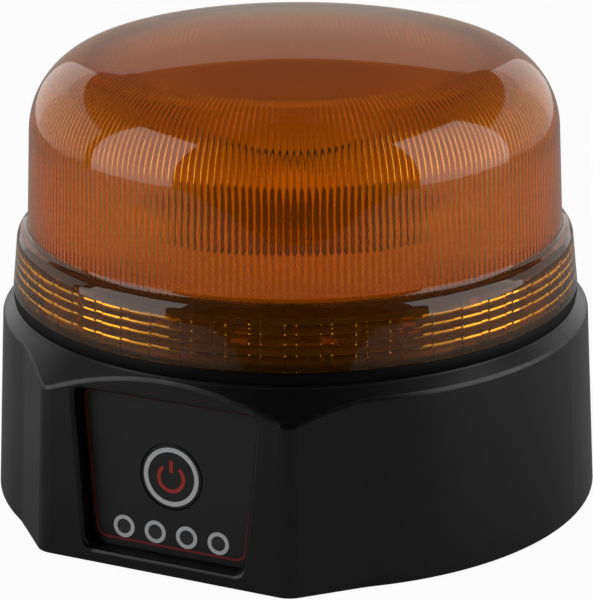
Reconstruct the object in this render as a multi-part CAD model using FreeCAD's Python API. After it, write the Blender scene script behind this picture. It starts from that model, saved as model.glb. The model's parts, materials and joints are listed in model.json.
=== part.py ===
"""Rechargeable amber LED beacon with a magnetic base.

Frame: millimetres, +Z up.  The origin is the centre of the underside of the rubber base pad,
on the axis of the round body.  The control panel faces -Y and the charge port faces +Y.
"""
import FreeCAD, Part
import os
from math import asin, atan, cos, degrees, hypot, pi, radians, sin, tan

V = FreeCAD.Vector
X_AXIS = V(1, 0, 0)
Z_AXIS = V(0, 0, 1)

# ---------------------------------------------------------------- driving dimensions, mm and degrees
# General clearances
seat_gap = 0.05            # play of a fixed insert in its seat
run_gap = 0.25             # play of a moving piece beside its neighbours
hole_gap = 0.2             # screw shank to its clearance hole
head_gap = 0.3             # screw head to its counterbore

# Base housing
body_r = 75.0              # radius of the round body, projected to z = 0
body_draft = 3.1           # draft of every outer wall
edge_lift = 0.8            # lower edge of the housing above the standing surface
wall = 3.0                 # housing wall
shoulder_run = 2.45709     # inner end of the sloping shoulder, inside the drafted wall at the deck
shoulder_drop = 0.55       # that end below the deck
shoulder_slope = 42.2      # slope of the shoulder from the horizontal
shoulder_round = 1.4       # rounding between walls and shoulder
deck_z = 48.8              # top of the deck, where the lens seal lies
deck_t = 3.0
deck_w = 17.9              # deck between the shoulder and the opening under the heat sink
deck_bevel = 0.4
flange_z = 4.4             # underside of the inner flange that the bottom gasket meets
flange_t = 2.0
flange_w = 3.4             # width of the flange face
rebate_gap = 0.4           # added to the wall beside the bottom rebate
rebate_front = 0.6         # rebate behind the wall of the panel's pocket

# Control panel
panel_setback = 2.0        # panel plane inside the body radius, at z = 0
panel_half = 32.6          # half width of the panel plane, to the sharp corners
corner_round = 5.5         # vertical rounding of those corners
horn_angle = 45.7          # turn from the panel plane to the side plane
horn_blend = 26.0          # blend of the side plane into the round body
horn_reach = 25.0          # length of the side plane before it is blended
pocket_depth = 4.8
pocket_half_top = 23.8
pocket_half_low = 20.6
pocket_drop = 6.0          # pocket's upper edge below the deck
pocket_low = 4.1
pocket_round_top = 1.8
pocket_round_low = 2.8
pocket_lip = 1.1           # rounding of the pocket's rim
overlay_t = 0.5
overlay_gap = 0.4          # overlay edge to pocket wall
key_r = 7.9
key_v = 23.5               # key centre above the standing surface
key_t = 1.3
key_bevel = 0.2
key_stem_r = 2.0
key_travel = 0.4
key_spare = 0.3            # room left behind the pressed key
window_r = 2.0
window_pitch = 8.25
window_v = 9.3
window_count = 4
window_led_w = 2.0
window_led_d = 1.2
window_led_h = 0.7
switch_half = 3.0
switch_h = 3.6
switch_space = 2.6         # switch face behind the housing wall
plunger_r = 1.7
plunger_out = 1.4          # plunger ahead of the switch face
plunger_in = 1.2           # plunger inside the switch
panel_board_half = 21.0
panel_board_lift = 2.2     # board's lower edge above the bottom cover
panel_board_drop = 7.3     # its upper edge below the pocket's
panel_screw_edge = 4.0     # board screws inside its edges
board_round = 2.0

# Lens
lens_wall = 2.6
lens_inset = 0.15          # collar's foot inside the shoulder's inner end
collar_h = 13.0
collar_taper = 1.35        # collar's foot less its upper edge, in radius
collar_wall = 3.3
collar_roof = 1.1          # collar's roof inside, below its upper edge
dome_in_rise = 1.0         # roof's inner edge above its outer one
bevel_w = 0.8              # bevel above the collar's edge
bevel_h = 1.4
foot_w = 1.9               # hollow foot of the dome, above the bevel
foot_h = 1.2
foot_sag = 0.15
dome_wall_h = 23.2         # dome's foot to the centre of its shoulder arc
dome_draft = 2.68
shoulder_arc_r = 19.75     # radius between the wall and the crown
crown_r = 279.0            # radius of the shallow crown
gate_r = 6.0               # ball that leaves the moulding gate's dimple at the apex
gate_depth = 0.4
seal_h = 3.2
seal_w = 3.8
seal_bulge = 0.4
seal_edge = 0.4            # seal's edges inside the collar's foot
flute_count = 52
flute_r = 1.25
flute_phase = 24.5         # one flute's place round the axis, from -Y towards +X
ridge_hs = (2.5, 5.3, 7.6, 9.8)       # prism ridges above the collar's foot
ridge_h = 0.3
ridge_half = 0.35
lens_boss_r = 3.6
lens_boss_in = 5.15        # boss axis inside the collar's inner wall
lens_boss_roof = 1.7       # boss above the end of its screw
lens_grip = 4.5            # screw's grip in the lens
lens_web_half = 1.1
lens_screw_count = 4
lens_screw_angle = 70.5

# Light engine
sink_gap = 0.5             # heat sink's edge to the lens bosses
sink_t = 2.0
sink_hub_r = 30.0          # inside of the ring that carries the fins
sink_hole_r = 8.0
sink_fin_count = 24
sink_fin_h = 3.6
sink_fin_half = 0.7
sink_fit = 0.6             # fin ring inside the deck's opening
board_t = 1.6
led_board_edge = 0.8       # lamp board inside the heat sink
led_board_hole_r = 12.0
led_count = 16
led_edge = 4.4             # lamps inside the board's edge
led_size = 3.6
led_h = 1.5
led_bevel = 0.5
floor_rise = 1.0           # upper face of the reflector's floor above the collar's edge
floor_t = 1.4
floor_gap = 0.9            # floor edge to the lens
reflector_gap = 8.0        # mirror's foot inside the lamps
reflector_foot_w = 9.0
mirror_sag_r = 0.42        # share of the mirror's width and height at its bend
mirror_sag_z = 0.60
mirror_edge = 0.6
dish_r = 27.0              # rim of the reflector's centre dish
dish_low_r = 17.0
dish_depth = 6.6
dish_lip = 6.0
reflector_screw_in = 4.0   # screws inside the mirror's foot
reflector_grip = 4.0
reflector_screw_drop = 0.5 # screw heads' seat below the deck
reflector_screw_count = 3
reflector_screw_angle = 30.0
centre_board_gap = 0.4
centre_led_count = 7
centre_led_r = 9.5

# Driver board
driver_drop = 7.6          # board's upper face below the deck
driver_edge = 2.0          # board inside the deck's opening
driver_tab_out = 4.5       # tab screws outside the board's edge
driver_tab_half = 5.0
driver_tab_end = 4.0
driver_post_r = 3.2
driver_grip = 5.4
coil_half = 5.0
coil_h = 3.0
capacitor_r = 3.0
capacitor_h = 3.2
capacitor_x = 9.0
capacitor_y = 12.0
plug_half = 4.0
plug_d = 5.0
plug_h = 3.2
plug_x = 10.0
plug_y = -19.0
driver_screw_count = 4
driver_screw_angle = 22.5

# Batteries
cell_r = 9.2
cell_len = 65.0
cell_count = 4
cell_gap = 0.5
cell_end_gap = 0.3
cell_tip_r = 2.8
cell_tip = 1.5
cradle_floor_t = 1.8
cradle_wall = 2.0
cradle_h = 11.0
cradle_lift = 3.6          # cradle above the magnet cups
cradle_foot_x = 27.0       # cradle's two side feet from the middle
cradle_post_r = 3.6
cradle_hole = 6.0          # depth of the feet's screw holes
cradle_web = 2.0           # saddles below the cells' axes
strap_t = 0.8
strap_w = 14.0
strap_round = 3.0

# Bottom
cover_t = 2.4
cover_gap = 0.4
cover_bevel = 0.5
gasket_t = 1.0
gasket_in = 0.3            # gasket inside the flange's edge
pad_t = 1.8
pad_margin = 9.2           # pad inside the cover's edge
pad_bevel = 0.4
pad_gap = 0.2
magnet_r = 16.0
magnet_h = 7.0
magnet_wall = 2.2          # cover wall round a magnet
magnet_roof = 1.4
magnet_margin = 3.0        # magnets inside the pad's edge
magnet_count = 3
magnet_angle = 90.0
magnet_face_z = 0.3        # magnets stop just short of the standing surface
magnet_shell = 1.8
magnet_ring_gap = 0.4
magnet_ring_set = 0.3      # ferrite ring behind the cup's rim
magnet_stud_r = 3.4
magnet_grip = 4.0
cover_screw_in = 9.0       # cover screws inside the bottom rebate
cover_screw_count = 4
cover_screw_angle = 45.0
cover_grip = 11.0
cover_screw_floor = 1.0    # cover left above a screw's head
screw_boss_r = 4.5
screw_web_half = 1.2

# Charge port
port_z = 21.0
port_w = 21.0              # recess width
port_h = 20.0              # recess height
port_corner = 1.2
port_setback = 4.6         # recess floor inside the body radius
port_wall = 2.4
port_screw_out = 3.5       # board screws outside the recess
port_post_r = 3.0
flap_t = 2.2
flap_gap = 0.35
flap_back = 0.3
flap_round = 1.8
flap_bevel = 0.5
flap_tab_half = 3.5
flap_tab_h = 1.6
flap_tab_out = 1.1
pin_r = 0.8
pin_fit = 0.06
pin_out = 1.9              # hinge axis in front of the recess floor
pin_drop = 2.4             # hinge axis below the recess's upper edge
pin_grip = 1.5             # pin held in each side of the recess
barrel_r = 1.7
socket_w = 9.2
socket_h = 3.4
socket_depth = 5.2         # charge board behind the recess wall
socket_wall = 0.35
socket_back = 0.4          # socket's mouth behind the recess floor
socket_gap = 0.15
charge_board_half_h = 6.0
charge_board_edge = 4.0

# Screws
screw_r = 1.5
screw_head_r = 2.8
screw_head_h = 2.0
screw_slot_half = 0.4
screw_slot_h = 0.9
screw_spare = 0.5          # hole beyond the end of its screw
small_screw_r = 1.2
small_screw_head_r = 2.2
small_screw_head_h = 1.5
small_screw_grip = 4.0
small_hole_gap = 0.15
small_post_r = 3.0

# ---------------------------------------------------------------- derived sizes and levels
body_slope = tan(radians(body_draft))
shoulder_r = body_r - deck_z * body_slope - shoulder_run
shoulder_z = deck_z - shoulder_drop
deck_bore_r = shoulder_r - deck_w
deck_low = deck_z - deck_t
panel_dist = body_r - panel_setback
pocket_top = deck_z - pocket_drop
rim_wall = wall + rebate_gap
recess_r = body_r - edge_lift * body_slope - rim_wall
recess_front = panel_dist - pocket_depth - wall - rebate_front
flange_r = recess_r - flange_w
flange_front = recess_front - flange_w
flange_top = flange_z + flange_t

cover_z = flange_z - gasket_t - cover_t
cover_top = cover_z + cover_t
cover_screw_pitch_r = recess_r - cover_screw_in
cover_screw_seat = cover_top - cover_screw_floor
pad_r = recess_r - cover_gap - pad_margin
magnet_pitch_r = pad_r - magnet_r - magnet_margin
magnet_top = magnet_face_z + magnet_h
cup_top = magnet_top + magnet_roof
cradle_z = cup_top + cradle_lift
cell_z = cradle_z + cradle_floor_t + cell_r

key_face_w = -pocket_depth + overlay_t
key_back_w = key_face_w - key_t
panel_inner_w = -pocket_depth - wall
switch_face_w = panel_inner_w - switch_space
panel_board_w = switch_face_w - switch_h
panel_board_low = cover_top + panel_board_lift
panel_board_high = pocket_top - panel_board_drop
panel_screw_u = panel_board_half - panel_screw_edge
panel_screw_v = panel_board_high - panel_screw_edge
small_hole_r = small_screw_r + small_hole_gap

seal_top = deck_z + seal_h
collar_r_low = shoulder_r - lens_inset
collar_r_top = collar_r_low - collar_taper
collar_z = seal_top + collar_h
collar_in_r = collar_r_low - collar_wall
collar_in_z = collar_z - collar_roof
bevel_r = collar_r_top - bevel_w
bevel_z = collar_z + bevel_h
dome_foot_r = bevel_r - foot_w
dome_foot_z = bevel_z + foot_h
dome_lean = radians(dome_draft)
dome_in_z = collar_in_z + dome_in_rise
dome_in_r = dome_foot_r + (dome_foot_z - dome_in_z) * tan(dome_lean) - lens_wall / cos(dome_lean)
shoulder_arc_z = dome_foot_z + dome_wall_h
arc_centre_r = dome_foot_r - dome_wall_h * tan(dome_lean) - shoulder_arc_r / cos(dome_lean)
crown_z = shoulder_arc_z - ((crown_r - shoulder_arc_r) ** 2 - arc_centre_r ** 2) ** 0.5
dome_top_z = crown_z + crown_r
seal_r = collar_r_low - seal_edge
lens_screw_r = collar_in_r - lens_boss_in
lens_screw_end = deck_z + lens_grip
lens_boss_top = lens_screw_end + lens_boss_roof

sink_r = lens_screw_r - lens_boss_r - sink_gap
sink_z = deck_z + sink_t
board_top = sink_z + board_t
sink_screw_seat = deck_z - reflector_screw_drop
led_board_r = sink_r - led_board_edge
led_pitch_r = led_board_r - led_edge
reflector_foot_r = led_pitch_r - reflector_gap
reflector_screw_r = reflector_foot_r - reflector_screw_in
floor_z = collar_z + floor_rise
floor_low = floor_z - floor_t
floor_r = dome_in_r - floor_gap
dish_z = floor_z - dish_depth
driver_z = deck_low - driver_drop
driver_r = deck_bore_r - driver_edge
driver_screw_r = driver_r + driver_tab_out

port_floor = body_r - port_setback
port_inner = port_floor - port_wall
port_screw_x = port_w / 2 + port_screw_out
charge_board_y = port_inner - socket_depth
pin_y = port_floor + pin_out
pin_z = port_z + port_h / 2 - pin_drop
pin_len = port_w + 2 * pin_grip


# ---------------------------------------------------------------- helpers
def cylinder(radius, z_low, z_high, x=0.0, y=0.0):
    return Part.makeCylinder(radius, z_high - z_low, V(x, y, z_low))


def ring(outer, inner, z_low, z_high):
    return cylinder(outer, z_low, z_high).cut(cylinder(inner, z_low - 1, z_high + 1))


def box(x_low, x_high, y_low, y_high, z_low, z_high):
    return Part.makeBox(x_high - x_low, y_high - y_low, z_high - z_low, V(x_low, y_low, z_low))


def polar(radius, angle):
    """Point at this radius, the angle counted from +X towards +Y."""
    return radius * cos(radians(angle)), radius * sin(radians(angle))


def spaced(count, first=0.0):
    return [first + 360.0 * i / count for i in range(count)]


def ring_places(radius, count, first):
    """Evenly spaced points on a circle."""
    return [polar(radius, angle) for angle in spaced(count, first)]


def in_line(count, pitch):
    """Evenly spaced places about the middle."""
    return [pitch * (i - (count - 1) / 2) for i in range(count)]


def turn_profile(edges):
    """Solid of revolution about Z from edges in the XZ plane that close a loop."""
    face = Part.Face(Part.Wire(edges))
    return face.revolve(V(0, 0, 0), Z_AXIS, 360)


def rz(r, z):
    return V(r, 0, z)


def turn_points(points):
    """Solid of revolution from a closed polygon of (radius, height) corners."""
    return turn_profile(Part.makePolygon([rz(r, z) for r, z in points + points[:1]]).Edges)


def join(shapes):
    first, rest = shapes[0], shapes[1:]
    return first.multiFuse(rest).removeSplitter() if rest else first


def on_panel(shape):
    """Place a shape drawn flat (X across, Y up, Z outwards) on the panel plane."""
    tilt = FreeCAD.Rotation(X_AXIS, 90 - body_draft)
    shape.Placement = FreeCAD.Placement(V(0, -panel_dist, 0), tilt)
    return shape


def up_panel(height):
    """Distance along the panel plane of a point at this height above the standing surface."""
    return height / cos(radians(body_draft))


def trapezoid(inset, w_low, w_high):
    """Tapered prism of the pocket's outline moved in by an inset, its four corners rounded."""
    low = up_panel(pocket_low) + inset
    high = up_panel(pocket_top) - inset
    half_top = pocket_half_top - inset
    half_low = pocket_half_low - inset
    corners = [V(-half_low, low, w_low), V(half_low, low, w_low)]
    corners += [V(half_top, high, w_low), V(-half_top, high, w_low)]
    prism = Part.Face(Part.makePolygon(corners + corners[:1])).extrude(V(0, 0, w_high - w_low))
    uprights = [e for e in prism.Edges if is_upright(e)]
    middle = (low + high) / 2
    prism = prism.makeFillet(pocket_round_low - inset, [e for e in uprights if e.CenterOfMass.y < middle])
    uprights = [e for e in prism.Edges if is_upright(e) and e.CenterOfMass.y > high - 0.1]
    return prism.makeFillet(pocket_round_top - inset, uprights)


def is_upright(edge):
    ends = edge.Vertexes
    if len(ends) != 2:
        return False
    step = ends[1].Point.sub(ends[0].Point)
    return hypot(step.x, step.y) < 0.2 * abs(step.z)


def half_space_y(y_low, z_low, z_high):
    """Block that keeps what lies behind this Y, towards +Y."""
    reach = 2 * body_r
    return box(-reach, reach, y_low, reach, z_low, z_high)


def screw(x, y, z_seat, length):
    """Cheese-head screw put in from below, its head bearing on z_seat."""
    head = cylinder(screw_head_r, z_seat - screw_head_h, z_seat, x, y)
    face_z = z_seat - screw_head_h
    slot = box(x - screw_head_r, x + screw_head_r, y - screw_slot_half, y + screw_slot_half, face_z - 1,
               face_z + screw_slot_h)
    return head.cut(slot).fuse(cylinder(screw_r, z_seat, z_seat + length, x, y)).removeSplitter()


# ---------------------------------------------------------------- patterns
cover_screw_angles = spaced(cover_screw_count, cover_screw_angle)
cover_screw_places = [polar(cover_screw_pitch_r, angle) for angle in cover_screw_angles]
lens_screw_places = ring_places(lens_screw_r, lens_screw_count, lens_screw_angle)
driver_screw_places = ring_places(driver_screw_r, driver_screw_count, driver_screw_angle)
reflector_screw_places = ring_places(reflector_screw_r, reflector_screw_count, reflector_screw_angle)
magnet_places = ring_places(magnet_pitch_r, magnet_count, magnet_angle)
window_places = in_line(window_count, window_pitch)
cell_pitch = 2 * cell_r + cell_gap
cell_places = in_line(cell_count, cell_pitch)
cradle_half_y = cell_places[-1] + cell_r + cradle_wall
cradle_places = [(-cradle_foot_x, 0.0), (cradle_foot_x, 0.0), (0.0, -cell_pitch)]


# ---------------------------------------------------------------- housing
def body_radius(z):
    return body_r - z * body_slope


def round_body(z_low, z_high, inset=0.0):
    """Drafted round body, moved in by an inset."""
    low = body_radius(z_low) - inset
    high = body_radius(z_high) - inset
    return Part.makeCone(low, high, z_high - z_low, V(0, 0, z_low))


def horn_block(z_low, z_high):
    """Drafted block that carries the flat panel and its two angled sides."""
    rings = []
    for z in (z_low, z_high):
        inset = z * body_slope
        half = panel_half - inset * tan(radians(horn_angle / 2))
        face_y = -(panel_dist - inset)
        out_x = half + horn_reach * cos(radians(horn_angle))
        out_y = face_y + horn_reach * sin(radians(horn_angle))
        corners = [V(-half, face_y, z), V(half, face_y, z), V(out_x, out_y, z)]
        corners += [V(0, 0, z), V(-out_x, out_y, z)]
        rings.append(Part.makePolygon(corners + corners[:1]))
    return Part.makeLoft(rings, True, True)


def shoulder_limit():
    """Everything below the sloping shoulder and the deck."""
    drop = tan(radians(shoulder_slope))
    far_r = body_r + 15.0
    far_z = shoulder_z - (far_r - shoulder_r) * drop
    low_z = edge_lift
    corners = [(0, low_z), (far_r, low_z), (far_r, far_z), (shoulder_r, shoulder_z)]
    corners += [(shoulder_r, deck_z - deck_bevel), (shoulder_r - deck_bevel, deck_z), (0, deck_z)]
    return turn_points(corners)


def behind_panel(offset=0.0):
    """Everything behind the panel plane moved out by an offset."""
    reach = 2 * body_r
    return on_panel(box(-reach, reach, -reach, reach, -2 * reach, offset))


def outer_housing():
    top = deck_z + 2.0
    shape = round_body(0, top).fuse(horn_block(0, top)).common(behind_panel()).removeSplitter()
    corners = [e for e in panel_uprights(shape, top) if e.CenterOfMass.y < -(panel_dist - 6.0)]
    shape = shape.makeFillet(corner_round, corners)
    creases = [e for e in panel_uprights(shape, top) if abs(e.CenterOfMass.x) > panel_half + 6.0]
    shape = shape.makeFillet(horn_blend, creases)
    shape = shape.common(shoulder_limit())
    return shape.makeFillet(shoulder_round, [e for e in shape.Edges if on_shoulder_edge(e)])


def panel_uprights(shape, height):
    """Full-height upright edges at the panel's corners and where its sides meet the round body."""
    long_edges = [e for e in shape.Edges if is_upright(e) and e.Length > height * 0.9]
    return [e for e in long_edges if abs(e.CenterOfMass.x) > panel_half - 6.0 and e.CenterOfMass.y < 0]


def on_shoulder_edge(edge):
    """True for the edges where a wall meets the sloping shoulder."""
    if is_upright(edge):
        return False
    start = edge.Vertexes[0].Point
    outside = hypot(start.x, start.y) > shoulder_r - 0.2
    low_enough = edge.BoundBox.ZMax < shoulder_z - 1e-3
    on_plane = abs(start.y + panel_dist - start.z * body_slope) < 1e-3
    return edge.BoundBox.ZMin > deck_z / 2 and outside and (low_enough or on_plane)


def flat_sided(radius, front, z_low, z_high):
    """Disc cut off flat on the panel side."""
    return cylinder(radius, z_low, z_high).common(half_space_y(-front, z_low - 1, z_high + 1))


def key_tool(radius, w_low, w_high, u=0.0, v=None):
    """Cylinder square to the panel, between two depths."""
    height = up_panel(key_v) if v is None else v
    return on_panel(cylinder(radius, w_low, w_high, u, height))


def window_tool(radius, w_low, w_high):
    """One cylinder at each indicator window."""
    v = up_panel(window_v)
    return Part.makeCompound([key_tool(radius, w_low, w_high, u, v) for u in window_places])


def pocketed_housing():
    """Outer housing with the control pocket, whose rim is rounded."""
    shape = outer_housing().cut(on_panel(trapezoid(0.0, -pocket_depth, pocket_depth)))
    return shape.makeFillet(pocket_lip, [e for e in shape.Edges if on_pocket_rim(e)])


def on_pocket_rim(edge):
    """True for the edges that the pocket's walls share with the panel plane."""
    bounds = edge.BoundBox
    inside = max(abs(bounds.XMin), abs(bounds.XMax)) < pocket_half_top + 0.1
    level = bounds.ZMin > pocket_low - 0.5 and bounds.ZMax < pocket_top + 0.5
    points = [vertex.Point for vertex in edge.Vertexes]
    return inside and level and all(abs(p.y + panel_dist - p.z * body_slope) < 1e-3 for p in points)


def port_recess():
    """Recess behind the charge port's rubber cover, with rounded upright corners."""
    half_h = port_h / 2
    block = box(-port_w / 2, port_w / 2, port_floor, body_r + 2, port_z - half_h, port_z + half_h)
    along_y = [e for e in block.Edges if abs(e.BoundBox.YLength - e.Length) < 0.01]
    return block.makeFillet(port_corner, along_y)


def slot_prism(width, height, y_low, y_high, z_centre):
    """Stadium-shaped prism along Y."""
    half = (width - height) / 2
    radius = height / 2
    core = box(-half, half, y_low, y_high, z_centre - radius, z_centre + radius)
    ends = [rod_y(radius, x, y_low, y_high, z_centre) for x in (-half, half)]
    return join([core] + ends)


def rod_y(radius, x, y_low, y_high, z):
    return Part.makeCylinder(radius, y_high - y_low, V(x, y_low, z), V(0, 1, 0))


def rod_x(radius, x_low, x_high, y, z):
    return Part.makeCylinder(radius, x_high - x_low, V(x_low, y, z), X_AXIS)


def housing_posts():
    """Screw bosses, board posts and the wall behind the charge port."""
    posts = []
    for angle in cover_screw_angles:
        x, y = polar(cover_screw_pitch_r, angle)
        web_end = body_radius(deck_z) - 1
        web = box(cover_screw_pitch_r, web_end, -screw_web_half, screw_web_half, flange_z, deck_low)
        web.rotate(V(0, 0, 0), Z_AXIS, angle)
        posts += [cylinder(screw_boss_r, cover_top, deck_low, x, y), web]
    for x, y in driver_screw_places:
        posts.append(cylinder(driver_post_r, driver_z, deck_low + 0.1, x, y))
    for side in (-1, 1):
        post = cylinder(small_post_r, panel_board_w, panel_inner_w + 0.1, side * panel_screw_u, panel_screw_v)
        posts.append(on_panel(post))
        posts.append(rod_y(port_post_r, side * port_screw_x, charge_board_y, port_floor + 1, port_z))
    half_w = port_w / 2 + port_wall
    half_h = port_h / 2 + port_wall
    backing = box(-half_w, half_w, port_inner, body_r - wall, port_z - half_h, port_z + half_h)
    posts.append(backing.common(round_body(0, deck_z, 1.0)))
    return posts


def housing_holes():
    """Screw holes, the charge port's recess and slot, the key's well and the window bores."""
    holes = [port_recess()]
    slot_w = socket_w + 2 * socket_gap
    slot_h = socket_h + 2 * socket_gap
    holes.append(slot_prism(slot_w, slot_h, port_inner - 1, port_floor + 1, port_z))
    for x, y in cover_screw_places:
        holes.append(cylinder(screw_r, cover_top - 1, cover_top + cover_grip + screw_spare, x, y))
    for x, y in driver_screw_places:
        holes.append(cylinder(screw_r, driver_z - 1, driver_z + driver_grip + screw_spare, x, y))
    for x, y in lens_screw_places:
        holes.append(cylinder(screw_r + hole_gap, deck_low - 1, deck_z + 1, x, y))
    holes.append(key_tool(key_r + run_gap, key_back_w - key_travel - key_spare, 0))
    holes.append(key_tool(key_stem_r + hole_gap, panel_inner_w - 1, 0))
    holes.append(window_tool(window_r + seat_gap, panel_board_w - 1, 0))
    reach = small_screw_grip + screw_spare
    reach_w = panel_board_w + reach
    for side in (-1, 1):
        x = side * panel_screw_u
        holes.append(on_panel(cylinder(small_screw_r, panel_board_w - 1, reach_w, x, panel_screw_v)))
        x = side * port_screw_x
        holes.append(rod_y(small_screw_r, x, charge_board_y - 1, charge_board_y + reach, port_z))
    holes.append(port_pin())
    return holes


def base_housing():
    shape = pocketed_housing()
    cavity = round_body(flange_top, deck_low, wall)
    slab_half = pocket_half_top + wall
    slab = on_panel(box(-slab_half, slab_half, -deck_z, 2 * deck_z, panel_inner_w, wall))
    shape = shape.cut(cavity.cut(slab))
    shape = shape.cut(flat_sided(recess_r, recess_front, 0, flange_z))
    shape = shape.cut(flat_sided(flange_r, flange_front, flange_z - 1, flange_top))
    shape = shape.cut(cylinder(deck_bore_r, deck_low - 1, deck_z + 1))
    shape = shape.multiFuse(housing_posts())
    for hole in housing_holes():
        shape = shape.cut(hole)
    return shape


# ---------------------------------------------------------------- bottom
def bottom_cover():
    plate = flat_sided(recess_r - cover_gap, recess_front - cover_gap, cover_z, cover_top)
    rim = [e for e in plate.Edges if e.BoundBox.ZMax < cover_z + 0.01]
    added = [plate.makeChamfer(cover_bevel, rim)]
    cuts = [cylinder(pad_r + pad_gap, 0, pad_t)]
    for x, y in magnet_places:
        added.append(cylinder(magnet_r + magnet_wall, cover_z, cup_top, x, y))
        added.append(cylinder(magnet_stud_r, cup_top - 0.1, cradle_z, x, y))
        cuts.append(cylinder(magnet_r + seat_gap, 0, magnet_top, x, y))
        cuts.append(cylinder(screw_r, magnet_top - 1, magnet_top + magnet_grip + screw_spare, x, y))
    for x, y in cradle_places:
        added.append(cylinder(cradle_post_r, cover_z, cradle_z, x, y))
        cuts.append(cylinder(small_screw_r, cradle_z - cradle_hole, cradle_z + 1, x, y))
    for x, y in cover_screw_places:
        cuts.append(cylinder(screw_r + hole_gap, 0, cover_top + 1, x, y))
        cuts.append(cylinder(screw_head_r + head_gap, 0, cover_screw_seat, x, y))
    shape = join(added)
    for cut in cuts:
        shape = shape.cut(cut)
    return shape


def bottom_gasket():
    outer = flat_sided(recess_r - cover_gap, recess_front - cover_gap, cover_top, flange_z)
    return outer.cut(flat_sided(flange_r + gasket_in, flange_front + gasket_in, cover_top - 1, flange_z + 1))


def base_pad():
    pad = cylinder(pad_r, 0, pad_t)
    pad = pad.makeChamfer(pad_bevel, [e for e in pad.Edges if e.BoundBox.ZMax < 0.01])
    for x, y in magnet_places:
        pad = pad.cut(cylinder(magnet_r + run_gap, -1, pad_t + 1, x, y))
    for x, y in cover_screw_places:
        pad = pad.cut(cylinder(screw_head_r + 3 * head_gap, -1, pad_t + 1, x, y))
    return pad


def magnet_cup(x, y):
    """Steel cup of a pot magnet, open downwards."""
    cup = cylinder(magnet_r, magnet_face_z, magnet_top, x, y)
    cup = cup.cut(cylinder(magnet_r - magnet_shell, 0, magnet_top - magnet_shell, x, y))
    return cup.cut(cylinder(screw_r + hole_gap, 0, magnet_top + 1, x, y))


def magnet_core(x, y):
    """Ferrite ring inside a pot magnet's cup, with a well for the screw head."""
    low = magnet_face_z + magnet_ring_set
    core = cylinder(magnet_r - magnet_shell - magnet_ring_gap, low, magnet_top - magnet_shell, x, y)
    return core.cut(cylinder(screw_head_r + 2 * head_gap, 0, magnet_top, x, y))


# ---------------------------------------------------------------- control panel
def panel_overlay():
    sheet = on_panel(trapezoid(overlay_gap, -pocket_depth, key_face_w))
    sheet = sheet.cut(key_tool(key_r + run_gap, -pocket_depth - 1, 0))
    return sheet.cut(window_tool(window_r + seat_gap, -pocket_depth - 1, 0))


def power_key():
    cap = cylinder(key_r, key_back_w, key_face_w, 0, up_panel(key_v))
    cap = cap.makeChamfer(key_bevel, [e for e in cap.Edges if e.BoundBox.ZMin > key_face_w - 0.01])
    stem = cylinder(key_stem_r, switch_face_w + plunger_out, key_back_w + 0.1, 0, up_panel(key_v))
    return on_panel(cap.fuse(stem).removeSplitter())


def switch_plunger():
    return key_tool(plunger_r, switch_face_w - plunger_in, switch_face_w + plunger_out)


def switch_body():
    v = up_panel(key_v)
    block = box(-switch_half, switch_half, v - switch_half, v + switch_half, panel_board_w, switch_face_w)
    well_w = switch_face_w - plunger_in - key_travel - key_spare
    return on_panel(block.cut(cylinder(plunger_r + seat_gap, well_w, switch_face_w + 1, 0, v)))


def indicator_pipe(u):
    return key_tool(window_r, panel_board_w + window_led_h, key_face_w, u, up_panel(window_v))


def indicator_leds():
    v = up_panel(window_v)
    half_w = window_led_w / 2
    half_d = window_led_d / 2
    high = panel_board_w + window_led_h
    chips = [box(u - half_w, u + half_w, v - half_d, v + half_d, panel_board_w, high) for u in window_places]
    return on_panel(Part.makeCompound(chips))


def panel_board():
    back_w = panel_board_w - board_t
    half = panel_board_half
    board = box(-half, half, panel_board_low, panel_board_high, back_w, panel_board_w)
    board = board.makeFillet(board_round, [e for e in board.Edges if e.BoundBox.ZLength > board_t - 0.1])
    for x in (-panel_screw_u, panel_screw_u):
        board = board.cut(cylinder(small_hole_r, back_w - 1, panel_board_w + 1, x, panel_screw_v))
    return on_panel(board)


def small_screw(length):
    """Small screw, its head's bearing face at the origin and its shank along +Z."""
    head = cylinder(small_screw_head_r, -small_screw_head_h, 0)
    return head.fuse(cylinder(small_screw_r, 0, length)).removeSplitter()


def panel_screw(u):
    shape = small_screw(board_t + small_screw_grip)
    shape.translate(V(u, panel_screw_v, panel_board_w - board_t))
    return on_panel(Part.makeCompound([shape])).Solids[0]


# ---------------------------------------------------------------- lens
def arc(first, middle, last):
    return Part.Arc(first, middle, last).toShape()


def line(first, last):
    return Part.LineSegment(first, last).toShape()


def dome_edges(foot, offset):
    """Edges of a dome profile from its foot to the axis, moved inwards by an offset, and its top."""
    arc_r = shoulder_arc_r - offset
    cap_r = crown_r - offset
    tip = atan(arc_centre_r / (shoulder_arc_z - crown_z))
    half_way = (dome_lean + pi / 2 - tip) / 2
    wall_end = rz(arc_centre_r + arc_r * cos(dome_lean), shoulder_arc_z + arc_r * sin(dome_lean))
    arc_middle = rz(arc_centre_r + arc_r * cos(half_way), shoulder_arc_z + arc_r * sin(half_way))
    arc_end = rz(cap_r * sin(tip), crown_z + cap_r * cos(tip))
    cap_middle = rz(cap_r * sin(tip / 2), crown_z + cap_r * cos(tip / 2))
    top = rz(0, crown_z + cap_r)
    return [line(foot, wall_end), arc(wall_end, arc_middle, arc_end), arc(arc_end, cap_middle, top)], top


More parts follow.
